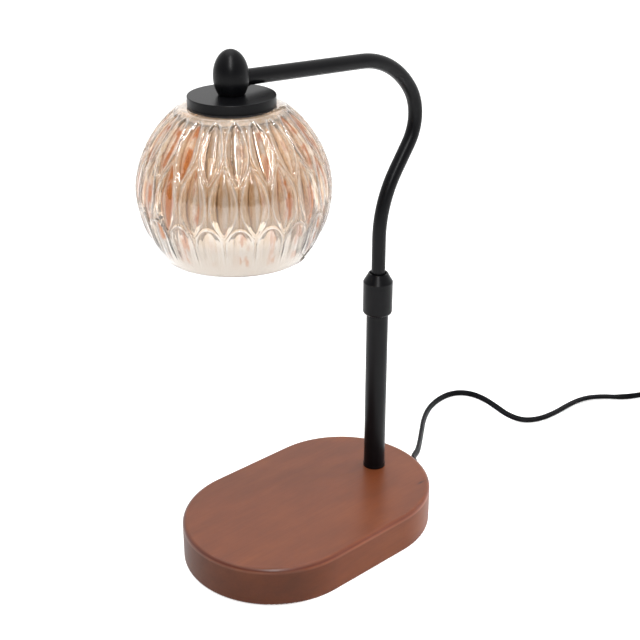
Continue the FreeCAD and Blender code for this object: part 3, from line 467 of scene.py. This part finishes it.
def far_route():
    """Points from the dimmer round the coil and to the plug."""
    coil_in = coil_point(0)
    coil_out = coil_point(coil_turns)
    link = [dimmer_end, dimmer_end + 8 * dimmer_way, dimmer_end + Vector((5.0, -17.0, -1.5)),
            dimmer_end + Vector((-1.0, -27.0, -3.5)), dimmer_end + Vector((-14.5, -32.6, -5.4)),
            Vector((376.0, coil_in.y - 0.3, cord_lie)), Vector((354, coil_in.y, cord_lie))]
    turns = [coil_point(k / coil_steps) for k in range(coil_turns * coil_steps + 1)]
    tail = [Vector((334, coil_out.y, coil_out.z)),
            Vector((329.0, coil_out.y + 0.2, coil_out.z + 0.1)),
            Vector((319.5, coil_out.y + 1.4, 8.45)), Vector((311.0, coil_out.y + 1.5, 8.5))]
    return link + turns + tail


def spline_points(name, route):
    """Points of the smooth line that has the route as its control points."""
    curve = bpy.data.curves.new(name + "_line", "CURVE")
    curve.dimensions = "3D"
    curve.resolution_u = 12
    spline = curve.splines.new("NURBS")
    spline.points.add(len(route) - 1)
    for point, spot in zip(spline.points, route):
        point.co = (*(Vector(spot) * MM), 1)
    spline.order_u = 3
    spline.use_endpoint_u = True
    holder = bpy.data.objects.new(name + "_line", curve)
    bpy.context.collection.objects.link(holder)
    line = bpy.data.meshes.new_from_object(holder)
    points = [v.co.copy() for v in line.vertices]
    bpy.data.objects.remove(holder)
    bpy.data.curves.remove(curve)
    bpy.data.meshes.remove(line)
    return points


def twin_section():
    """Outline of the flat twin cord: two round cores side by side with a shallow groove."""
    outline = []
    for k in range(section_sides):
        angle = 2 * math.pi * k / section_sides
        x = math.cos(angle)
        y = math.sin(angle)
        groove = 1 - groove_share * math.exp(-(x / groove_reach) ** 2)
        fullness = (1 - abs(x) ** section_squareness) ** (1 / section_squareness)
        outline.append((x * cord_width / 2,
                        math.copysign(fullness, y) * groove * cord_thickness / 2))
    return outline


def turned_by(turns, share):
    """Turn of the cord at a share of its length, eased between the given turns."""
    for (a, start), (b, end) in zip(turns, turns[1:]):
        if share <= b:
            return start + (end - start) * smooth((share - a) / (b - a))
    return turns[-1][1]


def twisted_cord(name, route, turns, replaces):
    """Sweeps the twin section along a route, turning it about the line as it goes."""
    points = spline_points(name, route)
    mesh = bmesh.new()
    outline = twin_section()
    travelled = [0.0]
    for a, b in zip(points, points[1:]):
        travelled.append(travelled[-1] + (b - a).length)
    rings = []
    for k, point in enumerate(points):
        way = (points[min(k + 1, len(points) - 1)] - points[max(k - 1, 0)]).normalized()
        side = Vector((0, 0, 1)).cross(way).normalized()
        up = way.cross(side)
        turn = math.radians(turned_by(turns, travelled[k] / travelled[-1]))
        across = side * math.cos(turn) + up * math.sin(turn)
        above = up * math.cos(turn) - side * math.sin(turn)
        rings.append([mesh.verts.new(point + (across * x + above * y) * MM) for x, y in outline])
    for first, second in zip(rings, rings[1:]):
        for k in range(len(outline)):
            j = (k + 1) % len(outline)
            mesh.faces.new((first[k], first[j], second[j], second[k]))
    mesh.faces.new(rings[0][::-1])
    mesh.faces.new(rings[-1])
    bmesh.ops.recalc_face_normals(mesh, faces=mesh.faces[:])
    made = piece(name, mesh, cord_plastic, "stand", replaces)


twisted_cord("flat_cord_near", near_route, near_turns, ["cord_to_dimmer"])
twisted_cord("flat_cord_coiled", far_route(), [(0.0, 90), (1.0, 90)],
             ["cord_to_coil", "cord_coil", "cord_to_plug"])


# Pressed glass shade. Heights and sizes are in millimetres, widths of leaves in pitches.

shade_belt = 51.0
shade_radius = 60.6
upper_span, upper_power = 63.4, 1.81
lower_span, lower_power = 74.6, 1.76
glass_wall = 3.6
roof_wall = 4.0
hole_radius = 21.0
flat_radius = 32.2
pressing_start = 0.6
rim_round = 1.0
rim_drop = 0.4
rim_fullness = 0.3
inner_rows = 15
around = 720
row_height = 0.8
seam_gap = 0.01

# Three rows of leaf shapes: petals at the top, lenses between them, arches below
petals = 20
petal_first = -90.0
petal_top = glass_top - 1.0
petal_belt = glass_top - 15.5
petal_land = glass_top - 20.5
petal_tip = glass_top - 33.0
lens_top = glass_top - 21.5
lens_belt = glass_top - 43.5
lens_tip = glass_top - 64.5
arch_top = glass_top - 56.5
arch_start = arch_top - 1.5
arch_belt = glass_top - 71.0
arch_fade = glass_top - 72.0
arch_end = glass_top - 86.5
widest = 0.44
petal_powers = (2.5, 1.7)
lens_powers = (1.9, 1.9)
arch_powers = (2.1, 2.0)
petal_border_power = 0.85
arch_border_power = 0.62

# Ridges along the leaves' edges, grooves between cells, scoops within
slope_step = 0.3
ridge_height = 0.85
ridge_width = 0.38
groove_depth = 0.45
groove_width = 0.4
groove_start = 8.0
land_depth = 0.2
land_run = 0.8
scoop_depth = 1.1
scoop_edge = 0.3
scoop_run = 1.2
bulge_height = 0.5
bulge_edge = 0.46
bulge_run = 0.3
bulge_full = 5.0
crease_width = 0.07
inner_line = 0.66
inner_width = 0.07
inner_height = 0.35
thinnest = 0.02

# Tone of the surface, from 0 for dark to 1 for pale, with painted highlights and shade in it
petal_tone, petal_ridge_highlight = 0.55, 0.5
lower_tone, lower_ridge_highlight = 0.59, 0.4
groove_shade = 0.4
scoop_light_and_shade = 0.15
crease_shade = 0.3
inner_line_highlight = 0.3
plain_tone = 0.45
wall_tone = 0.6

# Amber lustre: least, what the sides seen from the camera add as a painted sheen, how much cells
# and their halves differ, how it fills a scoop, and uneven steps that keep neighbouring cells from
# looking alike
painted_sheen_front = -128.0
lustre_least = 0.1
painted_sheen_sides = 1.3
lustre_cells = 0.35
lustre_halves = 0.3
lustre_end = 6.0
lustre_gain, lustre_loss = 1.6, 0.4
cell_beat, arch_beat, lens_beat = 7.3, 2.1, 1.3


def shade_profile(z):
    """Outer radius of the glass at a height."""
    offset = shade_belt - (glass_top - z)
    span, power = (upper_span, upper_power) if offset > 0 else (lower_span, lower_power)
    return shade_radius * (1 - (abs(offset) / span) ** power) ** (1 / power)


def clamp01(value):
    return min(max(value, 0.0), 1.0)


def leaf(z, top, belt, tip, powers):
    """Half width of a leaf shape at a height, in pitches. A power over 2 gives it a round end,
    and a lower one a pointed end."""
    if z >= top or z <= tip:
        return 0.0
    reach = (z - belt) / (top - belt) if z > belt else (belt - z) / (belt - tip)
    power = powers[0] if z > belt else powers[1]
    return widest * max(1 - reach ** power, 0.0) ** (0.5 if power > 2 else 1.0)


def own_border(z):
    """Half width, in pitches, of the cells on the petals' lines; the rest is the lenses'."""
    if z > petal_land:
        return 0.5
    if z > petal_tip:
        return 0.5 * ((z - petal_tip) / (petal_land - petal_tip)) ** petal_border_power
    if z > arch_top:
        return 0.0
    if z > lens_tip:
        return 0.5 * ((arch_top - z) / (arch_top - lens_tip)) ** arch_border_power
    return 0.5


def own_leaf(z):
    """Half width of the ridge line of the petals above and the arches below."""
    if z > petal_tip:
        return leaf(z, petal_top, petal_belt, petal_tip, petal_powers)
    if z < arch_belt:
        return widest
    return leaf(z, arch_start, arch_belt, arch_end, arch_powers)


def lens_leaf(z):
    """Half width of the ridge line of the lenses in the middle row."""
    return leaf(z, lens_top, lens_belt, lens_tip, lens_powers)


def edge_slope(width, z, spacing):
    """How far a line of half widths leans from upright at a height."""
    return (width(z + slope_step) - width(z - slope_step)) * spacing / (2 * slope_step)


def relief(azimuth, z):
    """Pressed pattern over the plain glass: height in mm, tone with painted highlights and shade,
    and depth of amber colour with a painted sheen.
    """
    pitch = 360 / petals
    steps = (azimuth - petal_first) / pitch
    offset = steps - round(steps)
    spacing = math.radians(pitch) * shade_profile(z)
    border = own_border(z)
    own = abs(offset) <= border
    across = abs(offset) if own else 0.5 - abs(offset)
    outline = own_leaf if own else lens_leaf
    half = outline(z)
    slope = edge_slope(outline, z, spacing)
    edge = (half - across) * spacing / math.sqrt(1 + slope ** 2)
    rim_slope = edge_slope(own_border, z, spacing)
    rim = abs(border - abs(offset)) * spacing / math.sqrt(1 + rim_slope ** 2)
    share = across / max(half, thinnest)

    ridge = math.exp(-(edge / ridge_width) ** 2) if half > 0 else 0.0
    groove = math.exp(-(rim / groove_width) ** 2)
    if z > petal_belt:
        groove *= smooth((petal_top - z) / groove_start)
    land = smooth(-edge / land_run)
    depth = smooth((edge - scoop_edge) / max(half * spacing / 2, scoop_run))
    bulge = smooth((bulge_edge - share) / bulge_run) * clamp01(half * spacing / bulge_full)
    crease = math.exp(-((share - bulge_edge) / crease_width) ** 2) * depth
    inner = math.exp(-((share - inner_line) / inner_width) ** 2) * depth
    fade = smooth((z - arch_end) / (arch_fade - arch_end))
    height = (ridge_height * ridge - groove_depth * groove - land_depth * land
              - scoop_depth * depth + bulge_height * bulge + inner_height * inner) * fade

    side = math.copysign(1, offset) * (1 if own else -1)
    # Painted sheen: the amber deepens towards the shade's sides as seen from the camera
    turn = math.sin(math.radians(azimuth - painted_sheen_front)) ** 2
    cell = math.sin(cell_beat * round(steps * 2) + arch_beat * (z < arch_top)
                    + lens_beat * (z > lens_top))
    lustre = clamp01(lustre_least + painted_sheen_sides * turn + lustre_cells * cell
                     + lustre_halves * side)
    amber = smooth(lustre_gain * depth - lustre_loss) * lustre * smooth((z - arch_end) / lustre_end)
    # Painted highlights on ridges and inner lines; painted shade in grooves, creases and scoops,
    # with one half of each scoop lit and the other shaded
    if z > petal_tip and own:
        tone = petal_tone + petal_ridge_highlight * ridge
    else:
        tone = lower_tone + lower_ridge_highlight * ridge
    tone += (scoop_light_and_shade * (bulge - depth + side * depth) - groove_shade * groove
             - crease_shade * crease + inner_line_highlight * inner)
    return height, clamp01(tone) * fade + plain_tone * (1 - fade), amber


def shade_line():
    """Section of the glass from its hole down the outside, round the rim and up the inside,
    as (radius, height, whether the pattern is pressed into it)."""
    line = [(hole_radius, glass_top, False), (flat_radius, glass_top, False)]
    height = glass_top - pressing_start
    while height > glass_rim + rim_round:
        line.append((shade_profile(height) - ridge_height / 2, height, True))
        height -= row_height
    middle = shade_profile(glass_rim) - glass_wall / 2
    for angle in range(15, 180, 30):
        turn = math.radians(angle)
        line.append((middle + glass_wall / 2 * math.cos(turn),
                     glass_rim + rim_drop - rim_fullness * glass_wall * math.sin(turn), False))
    low = glass_rim + rim_round
    high = glass_top - roof_wall
    for k in range(inner_rows + 1):
        height = low + (high - low) * k / inner_rows
        line.append((shade_profile(height) - glass_wall, height, False))
    line.append((hole_radius, high, False))
    return line


def shade_shell():
    """Spins the section over one petal's pitch, turns copies of that round the shade, merges
    their seams and presses the pattern into the outside."""
    mesh = bmesh.new()
    tone = mesh.verts.layers.float.new("tone")
    amber = mesh.verts.layers.float.new("amber")
    row = mesh.verts.layers.int.new("row")
    line = shade_line()
    section = [mesh.verts.new(place(shade_x + radius, 0, height)) for radius, height, _ in line]
    for k, vert in enumerate(section):
        vert[row] = k
    edges = [mesh.edges.new(pair) for pair in zip(section, section[1:] + section[:1])]
    axle = place(shade_x, 0, 0)
    pitch = 2 * math.pi / petals
    bmesh.ops.spin(mesh, geom=section + edges, cent=axle, axis=(0, 0, 1), angle=pitch,
                   steps=around // petals)
    bmesh.ops.spin(mesh, geom=mesh.verts[:] + mesh.edges[:] + mesh.faces[:], cent=axle,
                   axis=(0, 0, 1), angle=2 * math.pi - pitch, steps=petals - 1,
                   use_duplicate=True)
    bmesh.ops.remove_doubles(mesh, verts=mesh.verts[:], dist=seam_gap * MM)
    for vert in mesh.verts:
        radius, height, pressed = line[vert[row]]
        step = round(math.atan2(vert.co.y, vert.co.x - shade_x * MM) / (2 * math.pi) * around)
        angle = 2 * math.pi * (step % around) / around
        rise, light, depth = 0.0, wall_tone, 0.0
        if pressed:
            rise, light, depth = relief(360 * (step % around) / around, height)
        vert.co = place(shade_x + (radius + rise) * math.cos(angle),
                        (radius + rise) * math.sin(angle), height)
        vert[tone] = light
        vert[amber] = depth
    mesh.verts.layers.int.remove(row)
    bmesh.ops.recalc_face_normals(mesh, faces=mesh.faces[:])
    return mesh


piece("petalled_glass_shade", shade_shell(), amber_glass, "arm", ["glass_shade"])


# Floor, lights and world. Places and sizes are in metres.

def stage_floor(half_size):
    """A white floor that is lit from within, so that it meets the white world unseen."""
    mesh = bmesh.new()
    bmesh.ops.create_grid(mesh, x_segments=1, y_segments=1, size=half_size)
    data = bpy.data.meshes.new("floor")
    mesh.to_mesh(data)
    mesh.free()
    floor = bpy.data.objects.new("floor", data)
    bpy.context.collection.objects.link(floor)
    white, _, _ = material("white lit floor", "#DCDCDC", 0.9, Specular_IOR_Level=0.0,
                           Emission_Strength=0.5)
    data.materials.append(white)


def soft_light(name, spot, target, size, power, mirrored=True, spread=180):
    """A rectangular light aimed at a target. Where it isn't mirrored, gloss doesn't show it."""
    lamp = bpy.data.lights.new(name, "AREA")
    lamp.shape = "RECTANGLE"
    lamp.size, lamp.size_y = size
    lamp.energy = power
    lamp.spread = math.radians(spread)
    holder = bpy.data.objects.new(name, lamp)
    holder.location = spot
    holder.rotation_euler = (Vector(target) - Vector(spot)).to_track_quat("-Z", "Y").to_euler()
    holder.visible_glossy = mirrored
    holder.visible_transmission = mirrored
    bpy.context.collection.objects.link(holder)


# Cosines of the angle from the brightest direction, where the world is dimmest and brightest
world_dim = -0.7
world_bright = 0.5


def white_world(towards, low, high):
    """A white world, brightest in one direction and softer opposite."""
    world = bpy.data.worlds.new("white studio")
    world.use_nodes = True
    tree = world.node_tree
    background = tree.nodes["Background"]
    background.inputs["Color"].default_value = (1, 1, 1, 1)
    way = add(tree, "ShaderNodeTexCoord", {})
    facing = add(tree, "ShaderNodeVectorMath",
                 {0: way.outputs["Generated"], 1: Vector(towards).normalized()},
                 operation="DOT_PRODUCT")
    level = add(tree, "ShaderNodeMapRange",
                {"Value": facing.outputs["Value"], "From Min": world_dim,
                 "From Max": world_bright, "To Min": low, "To Max": high})
    tree.links.new(level.outputs["Result"], background.inputs["Strength"])
    bpy.context.scene.world = world


def soft_sun(spot, angle, strength):
    """A broad light from far above."""
    lamp = bpy.data.lights.new("overhead light", "SUN")
    lamp.angle = math.radians(angle)
    lamp.energy = strength
    holder = bpy.data.objects.new("overhead light", lamp)
    holder.rotation_euler = Vector(spot).to_track_quat("Z", "Y").to_euler()
    bpy.context.collection.objects.link(holder)


stage_floor(half_size=12)
white_world(towards=(0.6, 0.5, 0.35), low=0.2, high=1.15)
soft_sun(spot=(0.1, 0.2, 1.0), angle=50, strength=0.9)
soft_light("gridded light on the base", spot=(1.5, -0.8, 0.2), target=(0.06, -0.02, 0.0),
           size=(0.6, 0.15), power=1.2, mirrored=False, spread=14)
soft_light("tall strip by the camera", spot=(-0.55, -0.6, 1.2), target=(-0.06, 0.0, 0.3),
           size=(0.07, 1.1), power=14)
